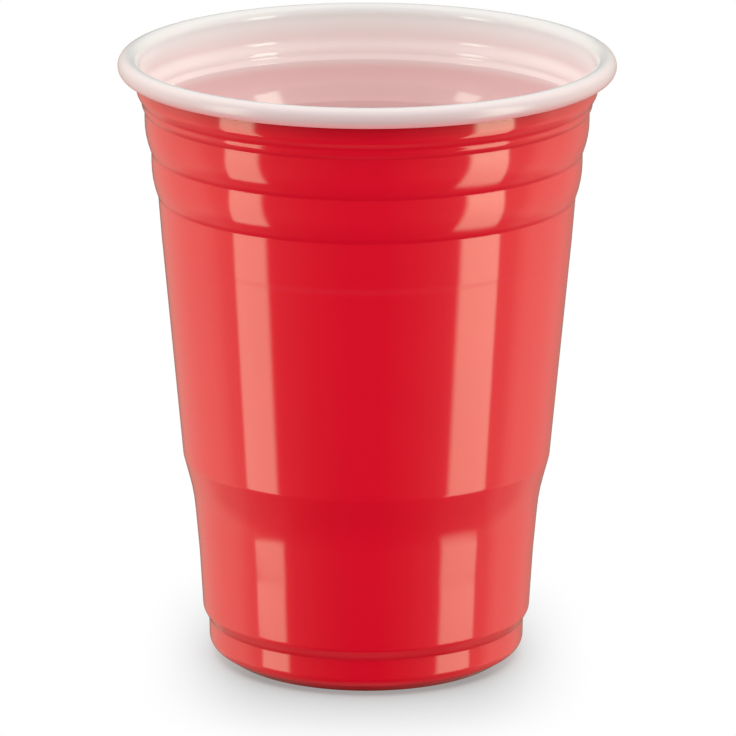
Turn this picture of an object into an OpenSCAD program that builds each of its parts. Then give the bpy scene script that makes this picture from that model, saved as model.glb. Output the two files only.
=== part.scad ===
// Plastic party cup, formed in one piece from a sheet that is red on one face and white on the other.
// The section of the sheet is a path of corners, rounded by arcs, that runs from the middle of the
// floor up to the rolled rim. The section is turned about the Z axis. The cup stands on Z = 0.
// All lengths are in millimetres.

/* [Cup] */
// Height from the table to the top of the rim
cup_h = 118.7; // [105:0.1:135]
// Diameter over the rolled rim
rim_d = 95; // [88:0.5:104]
// Diameter over the lower edge of the foot, before that edge is rounded
foot_d = 60.8; // [52:0.1:66]
// Thickness of the sheet
wall = 0.4; // [0.3:0.05:0.6]

/* [Rim] */
// Diameter of the rolled rim's tube
roll_d = 3.9; // [3:0.1:5]
// Gap between the trimmed edge of the sheet and the neck
edge_gap = 0.2; // [0.1:0.05:0.4]
// Depth of the neck's lower end below the top of the rim
neck_h = 6.9; // [6:0.1:9]

/* [Ribs] */
// Height of the ledge under the upper rib
upper_rib_h = 1.8; // [1.2:0.05:2.4]
// How far the wall steps in under the upper rib
upper_rib_in = 0.96; // [0.4:0.02:1.2]
// Radius of the upper rib's outer edge
upper_rib_round = 3; // [1:0.1:4]
// Height of the hollow between the ribs
rib_gap = 0.95; // [0.6:0.05:1.6]
// How far the hollow between the ribs narrows
rib_taper = 0.12; // [0:0.02:0.3]
// Radius of the hollow between the ribs
rib_hollow = 2.8; // [1:0.1:3.5]
// Height of the ledge under the lower rib
lower_rib_h = 0.95; // [0.7:0.05:1.5]
// How far the wall steps in under the lower rib
lower_rib_in = 0.5; // [0.3:0.02:0.8]
// Radius of the lower rib's outer edge
lower_rib_round = 1.9; // [0.7:0.1:2.5]

/* [Bands] */
// Height of the upper band
upper_band_h = 8.1; // [7:0.05:10]
// How far the upper band curves in to its groove
upper_band_in = 1.26; // [0.8:0.01:1.6]
// Radius of the upper band's bulge
upper_band_round = 16; // [8:1:22]
// Height of the lower band
lower_band_h = 8.6; // [8:0.1:12]
// How far the lower band curves in to its groove
lower_band_in = 1.24; // [0.8:0.01:1.6]
// Radius of the lower band's bulge
lower_band_round = 18; // [12:1:26]
// Lean of each band's lower edge, in degrees from upright
band_lean = 20; // [14:0.5:24]
// Radius in the bottom of each groove
groove_round = 0.3; // [0.1:0.05:0.6]

/* [Fill line] */
// Height of the plain collar between the lower band and the fill line
collar_h = 9; // [5:0.1:14]
// How far the collar narrows
collar_in = 0.7; // [0.3:0.01:1]
// Height of the small ledge that marks the fill line
line_h = 1; // [0.6:0.1:2]
// How far the ledge steps in
line_in = 0.1; // [0.05:0.01:0.4]

/* [Shoulder] */
// Height of the lower end of the shoulder above the table
shoulder_z = 32.7; // [28:0.1:38]
// Height of the shoulder
shoulder_h = 7.5; // [6:0.1:12]
// How far the shoulder stands out
shoulder_out = 1.99; // [1:0.01:3.2]
// Radius of the blend under the shoulder
shoulder_blend = 36; // [15:1:60]
// Radius of the shoulder's upper edge
shoulder_round = 5; // [2:0.5:14]

/* [Lower wall] */
// Height of the gentle bend in the lower wall above the table
bend_z = 21; // [16:0.1:26]
// Radius of the gentle bend
bend_round = 60; // [20:5:100]
// How far the lower wall widens from the step to the bend
bend_out = 0.7; // [0.4:0.02:1]
// How far the lower wall widens from the bend to the shoulder
lower_flare = 1.05; // [0.7:0.05:1.6]

/* [Foot] */
// Height of the groove above the foot band, from the table
foot_h = 7.4; // [6:0.1:10]
// How far the foot band widens
foot_flare = 0.1; // [0.05:0.05:0.8]
// Height of the foot's lower edge above the table
edge_h = 2.5; // [2:0.1:4]
// How far the foot turns in below its lower edge
edge_in = 3.8; // [3:0.1:5]
// Radius of the foot's lower edge
edge_round = 2.5; // [1:0.1:5]
// Height of the step above the foot band
step_h = 2.1; // [1.5:0.1:4]
// How far the step stands out
step_out = 1.12; // [0.5:0.01:1.5]
// Radius of the step's outer edge
step_round = 2; // [0.8:0.1:4]

/* [Floor] */
// Height of the floor above the table
floor_lift = 3; // [2:0.1:5]
// Width of the flat ring that the cup stands on
ring_flat = 1.1; // [0.6:0.1:3]
// Radius of the foot ring's outer edge
ring_edge_round = 1.5; // [0.8:0.1:2.5]
// Lean of the foot ring's inner side, in degrees from upright
ring_lean = 20; // [5:1:35]
// Radius of the foot ring's inner edge
ring_round = 1.5; // [0.8:0.1:2]

/* [Hidden] */
$fn = 180;

// Largest distance between a rounded corner and its true arc
arc_error = 0.004;
// Largest share of a straight stretch that the rounded corners at its ends may use together
corner_share = 0.95;

// Rolled rim: centre of its tube, and the angle that stays open between the trimmed edge and the neck
roll_r = (rim_d - roll_d) / 2;
roll_z = cup_h - roll_d / 2;
roll_open = acos(1 - 2 * (wall + edge_gap) / roll_d);

// Heights of the stacked ledges and grooves, counted down from the rim
neck_z = cup_h - neck_h;
upper_rib_z = neck_z - upper_rib_h;
lower_rib_z = upper_rib_z - rib_gap;
upper_band_z = lower_rib_z - lower_rib_h;
upper_groove_z = upper_band_z - upper_band_h;
lower_groove_z = upper_groove_z - lower_band_h;
line_z = lower_groove_z - collar_h;

// Radii of the red face, narrowing from the neck down
neck_r = rim_d / 2 - roll_d + wall;
upper_rib_r = neck_r - upper_rib_in;
lower_rib_r = upper_rib_r - rib_taper;
upper_band_r = lower_rib_r - lower_rib_in;
lower_band_r = upper_band_r - upper_band_in;
collar_r = lower_band_r - lower_band_in;
line_r = collar_r - collar_in;

// Radii of the red face, widening from the foot up
foot_r = foot_d / 2;
foot_top_r = foot_r + foot_flare;
step_r = foot_top_r + step_out;
bend_r = step_r + bend_out;
shoulder_low_r = bend_r + lower_flare;
shoulder_r = shoulder_low_r + shoulder_out;

// Corners of the foot ring: the flat lies between the two bends beside it
ring_edge_r = foot_r - edge_in;
ring_edge_bend = ring_edge_round * tan(atan(edge_h / edge_in) / 2);
ring_bend = ring_round * tan((90 - ring_lean) / 2);
ring_r = ring_edge_r - ring_edge_bend - ring_flat - ring_bend;

// Corners of the red face from the middle of the floor to the rim: radius, height and rounding
red_path = [
    [0, floor_lift, 0],
    [ring_r - floor_lift * tan(ring_lean), floor_lift, ring_round - wall],
    [ring_r, 0, ring_round],
    [ring_edge_r, 0, ring_edge_round],
    [foot_r, edge_h, edge_round],
    [foot_top_r, foot_h, groove_round],
    [step_r, foot_h + step_h, step_round],
    [bend_r, bend_z, bend_round],
    [shoulder_low_r, shoulder_z, shoulder_blend],
    [shoulder_r, shoulder_z + shoulder_h, shoulder_round],
    [line_r - line_in, line_z - line_h, groove_round],
    [line_r, line_z, groove_round + wall],
    [collar_r, lower_groove_z, groove_round],
    [lower_band_r, lower_groove_z + lower_band_in / tan(band_lean), lower_band_round],
    [lower_band_r, upper_groove_z, groove_round],
    [upper_band_r, upper_groove_z + upper_band_in / tan(band_lean), upper_band_round],
    [upper_band_r, upper_band_z, groove_round],
    [lower_rib_r, lower_rib_z, lower_rib_round],
    [upper_rib_r, upper_rib_z, rib_hollow],
    [neck_r, neck_z, upper_rib_round],
    [neck_r, roll_z, 0]
];
white_path = shifted(red_path, wall);

function place(corner) = [corner[0], corner[1]];

function turned(v, angle) = [
    v[0] * cos(angle) - v[1] * sin(angle),
    v[0] * sin(angle) + v[1] * cos(angle)
];

// Direction of the stretch that starts at corner i
function heading(path, i) =
    let (step = place(path[i + 1]) - place(path[i]))
    step / norm(step);

function arriving(path, i) = heading(path, max(i - 1, 0));

function leaving(path, i) = heading(path, min(i, len(path) - 2));

// The path moved to its left by a distance, with arcs that keep their centres
function shifted(path, distance) = [
    for (i = [0 : len(path) - 1])
        let (
            before = arriving(path, i),
            after = leaving(path, i),
            left = turned(before, 90) + turned(after, 90),
            point = place(path[i]) + distance * left / (1 + before * after),
            bend = sign(cross(before, after))
        )
        [point[0], point[1], path[i][2] - bend * distance]
];

// Angle by which the path turns at corner i
function turning(path, i) = acos(min(1, arriving(path, i) * leaving(path, i)));

// Length that the arc at corner i takes up on each of the stretches beside it
function reach(path, i) = path[i][2] * tan(turning(path, i) / 2);

// How far the arcs at both ends of the stretch that starts at corner i must shrink to fit on it
function fit(path, i) =
    min(1, corner_share * norm(place(path[i + 1]) - place(path[i])) / (reach(path, i) + reach(path, i + 1)));

// The arc that takes the place of corner i, never longer than the stretches beside it allow
function corner_arc(path, i) =
    let (
        before = arriving(path, i),
        after = leaving(path, i),
        turn = turning(path, i),
        bend = sign(cross(before, after)),
        radius = path[i][2] * min(fit(path, i - 1), fit(path, i)),
        start = place(path[i]) - before * radius * tan(turn / 2),
        centre = start + bend * radius * turned(before, 90),
        steps = max(1, ceil(turn / (2 * acos(1 - arc_error / radius))))
    )
    [for (k = [0 : steps]) centre + turned(start - centre, bend * turn * k / steps)];

function rounded(path) = concat(
    [place(path[0])],
    [for (i = [1 : len(path) - 2]) each corner_arc(path, i)],
    [place(path[len(path) - 1])]
);

// Everything inside one face of the sheet, closed by a lid at the given height
module filled(path, lid_z) {
    last = path[len(path) - 1];
    rotate_extrude()
        polygon(concat(rounded(path), [[last[0], lid_z], [0, lid_z]]));
}

// The wall and floor: the white face is cut out of the red one
module wall_and_floor() {
    difference() {
        color("red") filled(red_path, roll_z);
        color("white") filled(white_path, cup_h);
    }
}

// The rolled rim: the sheet curls outward and down with its white face outside
module rolled_rim() {
    color("white")
        rotate_extrude()
            translate([roll_r, roll_z])
                difference() {
                    circle(d = roll_d);
                    circle(d = roll_d - 2 * wall);
                    polygon([[0, 0], [-roll_d, 0], roll_d * turned([-1, 0], roll_open)]);
                }
}

module cup() {
    wall_and_floor();
    rolled_rim();
}

cup();
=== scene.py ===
import math

import bmesh
import bpy
from mathutils import Matrix, Vector


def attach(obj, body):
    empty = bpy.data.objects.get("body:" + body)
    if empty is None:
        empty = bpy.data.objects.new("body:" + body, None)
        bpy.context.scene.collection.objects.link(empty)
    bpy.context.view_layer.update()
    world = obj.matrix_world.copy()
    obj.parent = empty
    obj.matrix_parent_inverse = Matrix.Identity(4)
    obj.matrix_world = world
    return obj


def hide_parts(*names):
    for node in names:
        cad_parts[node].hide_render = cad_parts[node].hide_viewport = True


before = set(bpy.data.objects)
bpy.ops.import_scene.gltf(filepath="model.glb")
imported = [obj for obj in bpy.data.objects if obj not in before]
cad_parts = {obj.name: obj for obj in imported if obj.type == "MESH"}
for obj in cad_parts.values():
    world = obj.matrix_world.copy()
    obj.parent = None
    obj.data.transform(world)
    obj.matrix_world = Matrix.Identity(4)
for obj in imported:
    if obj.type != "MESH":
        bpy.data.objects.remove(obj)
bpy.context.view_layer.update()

MM = 0.001

# Sizes of the cup in millimetres, the same as the part's source gives
CUP_H = 118.7
RIM_R = 47.5
SHEET = 0.4
ROLL_R = 1.95
EDGE_GAP = 0.2
NECK_R = RIM_R - 2 * ROLL_R + SHEET
ROLL_Z = CUP_H - ROLL_R
BAND_R = (41.16, 42.42)
BAND_IN = (1.24, 1.26)
BAND_LEAN = math.radians(20)
COLLAR_R = 39.92
BODY_R = 35.36
STEP_R = 31.62
FOOT_R = 30.4
RING_R = 24.0
RING_LEAN = math.radians(20)
FLOOR_Z = 3

# Corners of the red face from the middle of the floor up to the rolled rim: radius, height and rounding
RED_FACE = [
    (0, FLOOR_Z, 0),
    (RING_R - FLOOR_Z * math.tan(RING_LEAN), FLOOR_Z, 1.1),
    (RING_R, 0, 1.5),
    (FOOT_R - 3.8, 0, 1.5),
    (FOOT_R, 2.5, 2.5),
    (FOOT_R + 0.1, 7.4, 0.3),
    (STEP_R, 9.5, 2),
    (STEP_R + 0.7, 21, 60),
    (BODY_R - 1.99, 32.7, 36),
    (BODY_R, 40.2, 5),
    (COLLAR_R - 0.8, 81.4, 0.3),
    (COLLAR_R - 0.7, 82.4, 0.7),
    (COLLAR_R, 91.4, 0.3),
    (BAND_R[0], 91.4 + BAND_IN[0] / math.tan(BAND_LEAN), 18),
    (BAND_R[0], 100.0, 0.3),
    (BAND_R[1], 100.0 + BAND_IN[1] / math.tan(BAND_LEAN), 16),
    (BAND_R[1], 108.1, 0.3),
    (42.92, 109.05, 1.9),
    (43.04, 110.0, 2.8),
    (NECK_R, 111.8, 3),
    (NECK_R, ROLL_Z, 0),
]

# How finely the sheet is drawn: degrees per step in a bend, steps in the curl, steps round the cup, and the
# distance below which two points are one
BEND_STEP = 6
CURL_STEPS = 34
STEPS_ROUND = 180
MERGE = 0.001

# The red face: the two close tones that cloud it, the tint of its shine and its plain specular level
RED_TONES = ("#D60B26", "#DC0D28")
RED_SHINE_TINT = (1, 1, 0.84, 1)
PLAIN_SPECULAR = 0.5

# The fill line: the middle of its ledge, its lighter red, which is a painted highlight on the ledge, and how
# far that red fades out to each side
LINE_Z = 81.9
LINE_HIGHLIGHT_TONE = "#DB192F"
LINE_FADE = 1

# Painted shade: the red is darker where other parts of the cup stand over it. The values are how far off they
# count, how open a place is where the red is darkest and where it is full, and its levels there
HIDING_REACH = 25
OPENNESS = (0.3, 1)
OPENNESS_LEVELS = (0.5, 1)

# Heights of the lips over the grooves and ledges, which turn down and catch little light; painted shade
# darkens them and weakens their shine
GROOVE_LIPS = [(7.4, 8.0), (91.4, 92.1), (100.0, 100.7), (108.1, 108.6), (110.0, 110.6)]

# Where a lip's effect sets in, from its lower height, and where it is gone and still full, from its upper one
LIP_START = (-0.25, 0.1)
LIP_END = (0.3, -0.2)

# What a lip's painted shade adds to the specular level and to the level of the colour, and the fill line's
# share of that
LIP_SHADE_SPECULAR = -0.3
LIP_SHADE_COLOUR = -0.08
LINE_SHARE = 0.25

# Tones of the white face by height: pinkest a little below the neck, whiter again deeper in the cup as
# painted light against the shade down there, and greyer at the top of the rim as painted shade
INSIDE_SPAN = (0, 120)
INSIDE_TONES_AND_PAINTED_LIGHT = [
    (0, "#F6E9E7"), (85, "#F4E0DE"), (98, "#E8C1C0"), (106.5, "#EAC3C2"),
    (108, "#EEDAD7"), (112.5, "#EEDCD9"), (115.5, "#EAE7E3"), (118, "#DAD8D5"),
]

# Tones of the rolled rim's outer side by height: pinkish where the red shows through the sheet stretched
# round it, pinkest at its lower edge as a painted reflection of the red neck, and darker than the white
# inside as painted shade
RIM_SPAN = (114, 119)
RIM_TONES_AND_PAINTED_LIGHT = [
    (114.8, "#FFA6A6"), (115.5, "#EBA8A7"), (116.2, "#D3B0AE"), (117.4, "#D0BDBB"), (118.7, "#E0D4D2"),
]

# Both faces: lowest and highest roughness, what the rim's outer side adds to it, and the sheet's unevenness
ROUGHNESS = (0.07, 0.10)
RIM_ROUGHER = 0.16
UNEVEN_STRENGTH = 0.05
UNEVEN_DEPTH = 0.03
POLYSTYRENE_IOR = 1.55

WHITE = (1, 1, 1, 1)

# The floor: half its width in metres, and its tone in the light that it throws back
FLOOR_HALF = 3
FLOOR_TONE = "#CFCFCF"

# The floor's shadow: how far off the cup still throws it, and its darkest level and tint
SHADOW_REACH = 35
SHADOW_LEVEL = 0.36
SHADOW_TINT = (1, 0.92, 0.91, 1)

# How open the floor is where the shadow is darkest and where it ends, and the same for its tint
SHADOW_OPENNESS = (0.25, 0.98)
TINT_OPENNESS = (0.35, 0.6)

# Distances to the side of the cup's middle at which the shadow sets in and is full
SHADOW_SIDES = (46, 19)

# The lamps: their lower and upper ends, the widths over which inner and outer edges fade, and their tint
LAMP_ENDS = (-170, 260)
LAMP_FADES = (24, 12)
LAMP_TINT = (0.86, 1, 0.84, 1)

# Strengths of the studio that the shine shows and of the light on the object
SHINE = 5
SOFT_LIGHT = 3.4

# The studio that the shine shows: its tint, and its level by degrees round the cup, with 90 at the right
RING_TINT = (1.05, 1, 0.80)
RING = [
    (-180, 0.02), (-172, 0.035), (-165, 0.08), (-155, 0.12), (-145, 0.15), (-125, 0.20), (-105, 0.25),
    (-97, 0.24), (-92, 0.20), (-85, 0.18), (-65, 0.13), (-52, 0.06), (-30, 0.02), (-10, 0.004),
    (10, 0.004), (30, 0.03), (45, 0.065), (54, 0.11), (68, 0.15), (92, 0.165), (98, 0.22),
    (105, 0.25), (125, 0.19), (145, 0.13), (155, 0.09), (165, 0.07), (175, 0.035), (180, 0.02),
]

# The share of that level from straight down, at -1, over the horizon, at 0, to straight up, at 1
DROP = [(-1, 0.2), (-0.7, 0.4), (-0.54, 0.62), (-0.46, 1.0), (-0.25, 1.0), (0.3, 1.0), (1, 1.0)]

# What the shine shows straight down, and where it passes into the studio, in the same measure
GROUND = (0.055, 0.05, 0.045, 1)
GROUND_EDGE = (-0.93, -0.86)

# The light on the object: its level by degrees round the cup, the level overhead, and how that takes over
SOFT_RING = [
    (-180, 0.28), (-125, 0.45), (-90, 0.86), (-60, 0.57), (-28, 0.18),
    (28, 0.18), (60, 0.59), (90, 0.96), (125, 0.45), (180, 0.28),
]
OVERHEAD = (0.39, 0.39, 0.39, 1)
TO_OVERHEAD = [(-1, 0.0), (0.1, 0.0), (0.8, 1.0), (1, 1.0)]

# The camera: focal length and sensor width in millimetres, and the shift to the side in picture widths
LENS = 336.85
SENSOR = 36
SHIFT_X = 1.38 / 736

# Its place, the distances between which it sees, both in metres, and its angles in degrees
CAMERA_AT = (0, -1.2794, 0.4059)
SIGHT = (0.05, 20)
LOOKING_DOWN = 15.265
TILT = 0.108


def on_section(radius, height):
    return Vector((radius * MM, 0, height * MM))


def run_straight(bm, tip, goal, longest=2.5, hold=0.25, nothing=1e-4):
    """Draws the section straight on to a point, with a point close to each end so that bends stay crisp."""
    start = tip.co.copy()
    length = (goal - start).length / MM
    if length < nothing:
        return tip
    stops = [1.0]
    if length > 3 * hold:
        inner = length - 2 * hold
        count = max(1, math.ceil(inner / longest))
        stops = [(hold + inner * k / count) / length for k in range(count + 1)] + [1.0]
    for stop in stops:
        grown = bmesh.ops.extrude_vert_indiv(bm, verts=[tip])
        tip = grown["verts"][0]
        tip.co = start.lerp(goal, stop)
    return tip


def run_bend(bm, tip, centre, angle, steps):
    """Draws the section round a bend: angle is positive where the path turns to its left."""
    grown = bmesh.ops.spin(
        bm, geom=[tip], cent=centre, axis=(0, -1, 0), angle=angle, steps=steps, use_duplicate=False
    )
    return [g for g in grown["geom_last"] if isinstance(g, bmesh.types.BMVert)][0]


def draw_section(bm):
    """Draws the red face of the sheet from the middle of the floor to its trimmed edge in the rolled rim."""
    points = [on_section(r, z) for r, z, _ in RED_FACE]
    tip = bm.verts.new(points[0])
    for i in range(1, len(points) - 1):
        before = (points[i] - points[i - 1]).normalized()
        after = (points[i + 1] - points[i]).normalized()
        turn = before.angle(after)
        left = Vector((-before.z, 0, before.x))
        bend = 1 if after.dot(left) > 0 else -1
        radius = RED_FACE[i][2] * MM
        tip = run_straight(bm, tip, points[i] - before * radius * math.tan(turn / 2))
        steps = max(3, math.ceil(math.degrees(turn) / BEND_STEP))
        tip = run_bend(bm, tip, tip.co + bend * radius * left, bend * turn, steps)
    tip = run_straight(bm, tip, points[-1])
    curl = 2 * math.pi - math.acos(1 - (SHEET + EDGE_GAP) / ROLL_R)
    run_bend(bm, tip, on_section(RIM_R - ROLL_R, ROLL_Z), -curl, CURL_STEPS)


def place(name, data):
    """Puts a new object into the scene."""
    thing = bpy.data.objects.new(name, data)
    bpy.context.scene.collection.objects.link(thing)
    return thing


def place_mesh(name, bm):
    """Puts the mesh into the scene as a new object, and frees the bmesh."""
    mesh = bpy.data.meshes.new(name)
    bm.to_mesh(mesh)
    bm.free()
    return place(name, mesh)


def form_cup():
    """Turns the section about the cup's axis and gives the sheet its thickness, white side inwards."""
    bm = bmesh.new()
    draw_section(bm)
    bmesh.ops.spin(
        bm, geom=bm.verts[:] + bm.edges[:], cent=(0, 0, 0), axis=(0, 0, 1),
        angle=2 * math.pi, steps=STEPS_ROUND, use_merge=True, use_duplicate=False
    )
    bmesh.ops.remove_doubles(bm, verts=bm.verts[:], dist=MERGE * MM)
    bmesh.ops.recalc_face_normals(bm, faces=bm.faces[:])
    lowest = min(bm.faces, key=lambda face: face.calc_center_median().z)
    if lowest.normal.z > 0:
        bmesh.ops.reverse_faces(bm, faces=bm.faces[:])
    for face in bm.faces:
        face.smooth = True
    cup = place_mesh("cup_sheet", bm)
    thickness = cup.modifiers.new("sheet", "SOLIDIFY")
    thickness.thickness = SHEET * MM
    thickness.offset = -1
    thickness.use_even_offset = True
    thickness.use_rim = True
    thickness.material_offset = 1
    thickness.material_offset_rim = 1
    return cup


def linear(hex_colour):
    """An sRGB hex colour as the linear one that a shader takes."""
    parts = [int(hex_colour[i:i + 2], 16) / 255 for i in (1, 3, 5)]
    return tuple(c / 12.92 if c <= 0.04045 else ((c + 0.055) / 1.055) ** 2.4 for c in parts) + (1,)


def add(tree, kind, inputs=None, **settings):
    """Adds a node with its settings. Each input is linked to a socket or takes a plain value."""
    node = tree.nodes.new(kind)
    for name, value in settings.items():
        setattr(node, name, value)
    for name, value in (inputs or {}).items():
        if isinstance(value, bpy.types.NodeSocket):
            tree.links.new(value, node.inputs[name])
        else:
            node.inputs[name].default_value = value
    return node


def calculate(tree, operation, *values):
    """One sum on sockets and numbers."""
    return add(tree, "ShaderNodeMath", dict(enumerate(values)), operation=operation).outputs[0]


def rescale(tree, value, given=(0, 1), wanted=(0, 1), **settings):
    """Turns the given range of a value into the wanted one, and stops at its ends."""
    inputs = {
        "Value": value, "From Min": given[0], "From Max": given[1], "To Min": wanted[0], "To Max": wanted[1],
    }
    return add(tree, "ShaderNodeMapRange", inputs, **settings).outputs[0]


def ease(tree, value, start, end):
    """Rises smoothly from 0 at the start to 1 at the end."""
    return rescale(tree, value, (start, end), interpolation_type="SMOOTHSTEP")


def between(tree, height, rise, fall):
    """1 between two heights and 0 beyond them. Each edge eases from its first height, at 0, to its second."""
    risen = ease(tree, height, rise[0] * MM, rise[1] * MM)
    standing = ease(tree, height, fall[0] * MM, fall[1] * MM)
    return calculate(tree, "MULTIPLY", risen, standing)


def noise(tree, where, per_mm, detail):
    """A noise with about so many grains to the millimetre."""
    inputs = {"Vector": where, "Scale": per_mm / MM, "Detail": detail}
    return add(tree, "ShaderNodeTexNoise", inputs).outputs[0]


def uneven(tree, height):
    """The faint unevenness of the sheet, from a noise."""
    inputs = {"Height": height, "Strength": UNEVEN_STRENGTH, "Distance": UNEVEN_DEPTH * MM}
    return add(tree, "ShaderNodeBump", inputs).outputs[0]


def blend(tree, factor, first, second, way="MIX"):
    """Puts the second colour over the first one by a factor."""
    inputs = {0: factor, 6: first, 7: second}
    return add(tree, "ShaderNodeMix", inputs, data_type="RGBA", blend_type=way).outputs[2]


def ramp(tree, value, low, high, stops):
    """A run of levels or colours over a value, given at points between its low and its high end."""
    share = rescale(tree, value, (low, high))
    band = add(tree, "ShaderNodeValToRGB", {"Fac": share})
    for k, (at, colour) in enumerate(stops):
        position = (at - low) / (high - low)
        stop = band.color_ramp.elements[k] if k < 2 else band.color_ramp.elements.new(position)
        stop.position = position
        stop.color = colour if isinstance(colour, tuple) else (colour, colour, colour, 1)
    return band.outputs["Color"]


def tones_by_height(tree, height, span, tones):
    low, high = span
    return ramp(tree, height, low * MM, high * MM, [(z * MM, linear(tone)) for z, tone in tones])


def new_material(name):
    material = bpy.data.materials.new(name)
    material.use_nodes = True
    material.node_tree.nodes.clear()
    return material, material.node_tree


def red_polystyrene():
    """The red face: gloss polystyrene drawn over a mould, with a deep colour, clear shine and faint waves."""
    material, tree = new_material("red gloss polystyrene")
    where = add(tree, "ShaderNodeTexCoord").outputs["Object"]
    cloud = noise(tree, where, 0.06, 2)
    clouded = blend(tree, cloud, linear(RED_TONES[0]), linear(RED_TONES[1]))
    height = add(tree, "ShaderNodeSeparateXYZ", {"Vector": where}).outputs["Z"]
    line = between(tree, height, (LINE_Z - LINE_FADE, LINE_Z), (LINE_Z + LINE_FADE, LINE_Z))
    # Painted highlight: the fill line's ledge is coloured a lighter red
    clouded_with_painted_highlight = blend(tree, line, clouded, linear(LINE_HIGHLIGHT_TONE))
    # Painted shade under the rim and other overhanging parts of the cup, from how open each place is
    reach = {"Distance": HIDING_REACH * MM}
    openness = add(tree, "ShaderNodeAmbientOcclusion", reach, samples=8, only_local=True).outputs["AO"]
    painted_shade = rescale(tree, openness, OPENNESS, OPENNESS_LEVELS)
    # Painted shade on the lips over the grooves and ledges, and a little on the fill line: a darker red and a
    # weaker shine
    painted_lip_shade = calculate(tree, "MULTIPLY", line, LINE_SHARE)
    for low, high in GROOVE_LIPS:
        lip = between(tree, height, [low + part for part in LIP_START], [high + part for part in LIP_END])
        painted_lip_shade = calculate(tree, "MAXIMUM", painted_lip_shade, lip)
    specular = calculate(tree, "MULTIPLY_ADD", painted_lip_shade, LIP_SHADE_SPECULAR, PLAIN_SPECULAR)
    # Both kinds of painted shade scale the red
    lit = calculate(tree, "MULTIPLY", painted_shade, calculate(tree, "MULTIPLY_ADD", painted_lip_shade, LIP_SHADE_COLOUR, 1))
    shaded = add(tree, "ShaderNodeVectorMath", {0: clouded_with_painted_highlight, "Scale": lit}, operation="SCALE")
    grain = noise(tree, where, 1.2, 3)
    gloss = rescale(tree, grain, wanted=ROUGHNESS)
    waves = noise(tree, where, 0.25, 1)
    skin = uneven(tree, waves)
    shine = add(tree, "ShaderNodeBsdfPrincipled", {
        "Base Color": shaded.outputs[0], "Roughness": gloss, "Normal": skin,
        "Specular IOR Level": specular, "IOR": POLYSTYRENE_IOR, "Specular Tint": RED_SHINE_TINT,
    })
    add(tree, "ShaderNodeOutputMaterial", {"Surface": shine.outputs["BSDF"]})
    return material


def white_polystyrene():
    """The white face of the same sheet, through which some of the red shows, with painted light and shade in
    its tones by height.
    """
    material, tree = new_material("white polystyrene")
    where = add(tree, "ShaderNodeTexCoord").outputs["Object"]
    height = add(tree, "ShaderNodeSeparateXYZ", {"Vector": where}).outputs["Z"]
    # Tones by height, with painted light deep in the cup and painted shade at the rim's top
    inside = tones_by_height(tree, height, INSIDE_SPAN, INSIDE_TONES_AND_PAINTED_LIGHT)
    across = add(tree, "ShaderNodeVectorMath", {0: where, 1: (1, 1, 0)}, operation="MULTIPLY")
    radius = add(tree, "ShaderNodeVectorMath", {0: across.outputs[0]}, operation="LENGTH").outputs["Value"]
    outer = rescale(tree, radius, ((RIM_R - ROLL_R) * MM, (RIM_R - 0.4 * ROLL_R) * MM))
    # The rim's outer tones, with a painted reflection of the red neck and painted shade
    rim_tone_and_painted_light = tones_by_height(tree, height, RIM_SPAN, RIM_TONES_AND_PAINTED_LIGHT)
    tone = blend(tree, outer, inside, rim_tone_and_painted_light)
    grain = noise(tree, where, 0.9, 3)
    gloss = rescale(tree, grain, wanted=ROUGHNESS)
    matt = rescale(tree, outer, wanted=(0, RIM_ROUGHER))
    rough = calculate(tree, "ADD", gloss, matt)
    skin = uneven(tree, grain)
    shine = add(tree, "ShaderNodeBsdfPrincipled", {
        "Base Color": tone, "Roughness": rough, "Normal": skin, "IOR": POLYSTYRENE_IOR,
    })
    add(tree, "ShaderNodeOutputMaterial", {"Surface": shine.outputs["BSDF"]})
    return material


def set_floor():
    """A pale floor. To the camera it is white with a soft grey shadow where the cup stands close over it."""
    bm = bmesh.new()
    bmesh.ops.create_grid(bm, x_segments=1, y_segments=1, size=FLOOR_HALF)
    floor = place_mesh("floor", bm)
    material, tree = new_material("white paper floor")
    matte = add(tree, "ShaderNodeBsdfDiffuse", {"Color": linear(FLOOR_TONE)})
    reach = {"Distance": SHADOW_REACH * MM}
    openness = add(tree, "ShaderNodeAmbientOcclusion", reach, samples=16).outputs["AO"]
    shade = rescale(tree, openness, SHADOW_OPENNESS, (SHADOW_LEVEL, 1))
    clear = rescale(tree, openness, TINT_OPENNESS)
    tint = blend(tree, clear, SHADOW_TINT, WHITE)
    where = add(tree, "ShaderNodeTexCoord")
    split = add(tree, "ShaderNodeSeparateXYZ", {"Vector": where.outputs["Object"]})
    beside = calculate(tree, "ABSOLUTE", split.outputs["X"])
    keep = ease(tree, beside, SHADOW_SIDES[0] * MM, SHADOW_SIDES[1] * MM)
    lost = calculate(tree, "SUBTRACT", shade, 1)
    level = calculate(tree, "MULTIPLY_ADD", lost, keep, 1)
    seen = add(tree, "ShaderNodeEmission", {"Strength": level, "Color": tint})
    ray = add(tree, "ShaderNodeLightPath")
    pick = add(tree, "ShaderNodeMixShader", {
        "Fac": ray.outputs["Is Camera Ray"], 1: matte.outputs[0], 2: seen.outputs[0],
    })
    add(tree, "ShaderNodeOutputMaterial", {"Surface": pick.outputs[0]})
    floor.data.materials.append(material)
    floor.visible_glossy = False


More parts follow.
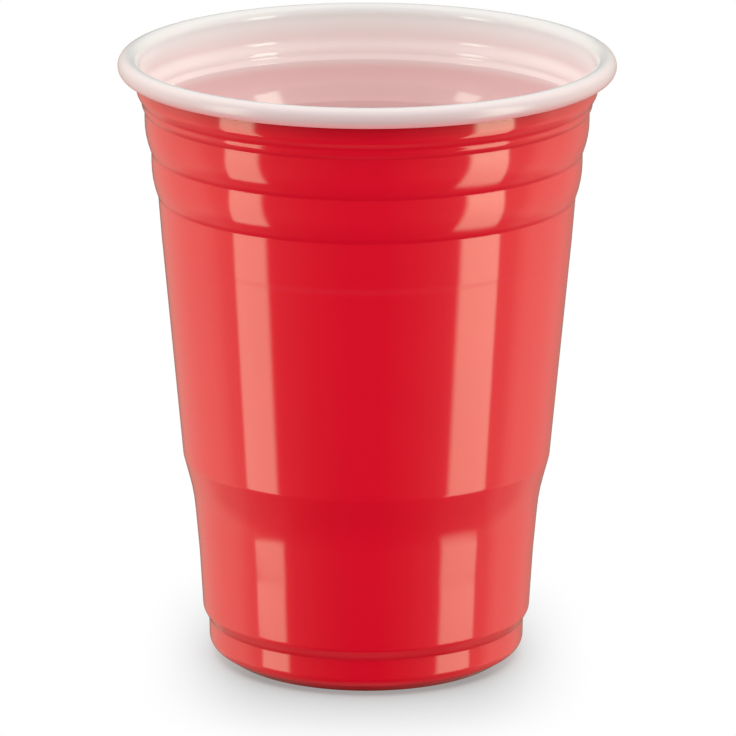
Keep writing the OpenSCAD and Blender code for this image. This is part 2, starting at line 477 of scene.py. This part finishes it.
def set_lamp(name, turn, distance, inner, outer, foot, levels, full):
    """A tall soft lamp beside the cup, seen only in its shine.

    It stands at an angle from the front and at a distance, in degrees and millimetres. Inner and outer give
    each edge's place along the lamp at table height and its slope. Foot gives the two heights over which its
    lower end fades in. Levels gives its brightness by height, and full multiplies them all.
    """
    angle = math.radians(turn)
    away = Vector((math.sin(angle), -math.cos(angle), 0))
    along = Vector((math.cos(angle), math.sin(angle), 0))
    low, high = LAMP_ENDS
    sign = 1 if inner[0] > outer[0] else -1
    bm = bmesh.new()
    bmesh.ops.create_grid(bm, x_segments=1, y_segments=1, size=1)
    for vert in bm.verts:
        height = low if vert.co.y < 0 else high
        edge, blur = (inner, LAMP_FADES[0]) if vert.co.x * sign > 0 else (outer, -LAMP_FADES[1])
        at = edge[0] + edge[1] * height + sign * blur / 2
        vert.co = (away * distance + along * at + Vector((0, 0, height))) * MM
    lamp = place_mesh(name, bm)
    material, tree = new_material(name + " light")
    where = add(tree, "ShaderNodeTexCoord").outputs["Object"]
    split = add(tree, "ShaderNodeSeparateXYZ", {"Vector": where})
    height = calculate(tree, "DIVIDE", split.outputs["Z"], MM)
    dot = add(tree, "ShaderNodeVectorMath", {0: where, 1: along / MM}, operation="DOT_PRODUCT")
    fade = ease(tree, height, foot[0], foot[1])
    for edge, side, blur in ((inner, sign, LAMP_FADES[0]), (outer, -sign, LAMP_FADES[1])):
        line = calculate(tree, "MULTIPLY_ADD", height, edge[1], edge[0])
        inwards = calculate(tree, "SUBTRACT", line, dot.outputs["Value"])
        inwards = calculate(tree, "MULTIPLY", inwards, side)
        fade = calculate(tree, "MULTIPLY", fade, ease(tree, inwards, -blur / 2, blur / 2))
    level = ramp(tree, height, low, high, levels)
    glow = blend(tree, 1, level, LAMP_TINT, "MULTIPLY")
    shine = add(tree, "ShaderNodeEmission", {"Color": glow, "Strength": SHINE * full})
    clear = add(tree, "ShaderNodeBsdfTransparent")
    seen = add(tree, "ShaderNodeMixShader", {"Fac": fade, 1: clear.outputs[0], 2: shine.outputs[0]})
    add(tree, "ShaderNodeOutputMaterial", {"Surface": seen.outputs[0]})
    material.cycles.emission_sampling = "NONE"
    lamp.data.materials.append(material)
    lamp.visible_camera = False
    lamp.visible_diffuse = False
    lamp.visible_transmission = False
    lamp.visible_shadow = False


def set_lamps():
    """Two tall lamps, one at each side of the cup, whose light fades towards their lower ends."""
    set_lamp(
        "left lamp", turn=-55, distance=350, full=0.98,
        inner=(0, 0.073), outer=(-127, 0.25), foot=(-154, -133),
        levels=[(-170, 0.65), (-110, 0.80), (-60, 0.82), (-20, 0.87), (20, 0.92), (50, 1.0), (260, 1.0)],
    )
    set_lamp(
        "right lamp", turn=55, distance=300, full=1.2,
        inner=(-20, 0.018), outer=(107, -0.212), foot=(-155, -104),
        levels=[(-170, 0.59), (-110, 0.62), (-65, 0.70), (-25, 0.78), (15, 0.90), (45, 1.0), (260, 1.0)],
    )


def set_world():
    """Even white light for the object, and for its shine a studio that is dark behind the camera."""
    world = bpy.data.worlds.new("studio")
    bpy.context.scene.world = world
    world.use_nodes = True
    tree = world.node_tree
    tree.nodes.clear()
    way = add(tree, "ShaderNodeTexCoord")
    split = add(tree, "ShaderNodeSeparateXYZ", {"Vector": way.outputs["Generated"]})
    rise = split.outputs["Z"]
    front = calculate(tree, "MULTIPLY", split.outputs["Y"], -1)
    turn = calculate(tree, "ARCTAN2", split.outputs["X"], front)
    turn = calculate(tree, "DEGREES", turn)
    ring = ramp(tree, turn, -180, 180, [
        (at, tuple(level * share for share in RING_TINT) + (1,)) for at, level in RING
    ])
    drop = ramp(tree, rise, -1, 1, DROP)
    walls = blend(tree, 1, ring, drop, "MULTIPLY")
    above_ground = ease(tree, rise, GROUND_EDGE[0], GROUND_EDGE[1])
    studio = blend(tree, above_ground, GROUND, walls)
    shine = add(tree, "ShaderNodeBackground", {"Color": studio, "Strength": SHINE})
    around = ramp(tree, turn, -180, 180, SOFT_RING)
    overhead = ramp(tree, rise, -1, 1, TO_OVERHEAD)
    soft = blend(tree, overhead, around, OVERHEAD)
    plain = add(tree, "ShaderNodeBackground", {"Color": soft, "Strength": SOFT_LIGHT})
    ray = add(tree, "ShaderNodeLightPath")
    lit = add(tree, "ShaderNodeMixShader", {
        "Fac": ray.outputs["Is Glossy Ray"], 1: plain.outputs[0], 2: shine.outputs[0],
    })
    white = add(tree, "ShaderNodeBackground", {"Color": WHITE, "Strength": 1})
    seen = add(tree, "ShaderNodeMixShader", {
        "Fac": ray.outputs["Is Camera Ray"], 1: lit.outputs[0], 2: white.outputs[0],
    })
    add(tree, "ShaderNodeOutputWorld", {"Surface": seen.outputs[0]})


def set_camera():
    """The photograph's view: a long lens from the front, looking down."""
    lens = bpy.data.cameras.new("camera")
    lens.lens = LENS
    lens.sensor_width = SENSOR
    lens.sensor_fit = "HORIZONTAL"
    lens.shift_x = SHIFT_X
    lens.clip_start, lens.clip_end = SIGHT
    camera = place("camera", lens)
    camera.matrix_world = (
        Matrix.Translation(CAMERA_AT)
        @ Matrix.Rotation(math.radians(90 - LOOKING_DOWN), 4, "X")
        @ Matrix.Rotation(math.radians(TILT), 4, "Z")
    )
    bpy.context.scene.camera = camera


cup = form_cup()
cup.data.materials.append(red_polystyrene())
cup.data.materials.append(white_polystyrene())
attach(cup, "root")
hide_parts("cup")

set_floor()
set_lamps()
set_world()
set_camera()
bpy.context.scene.view_settings.view_transform = "Standard"
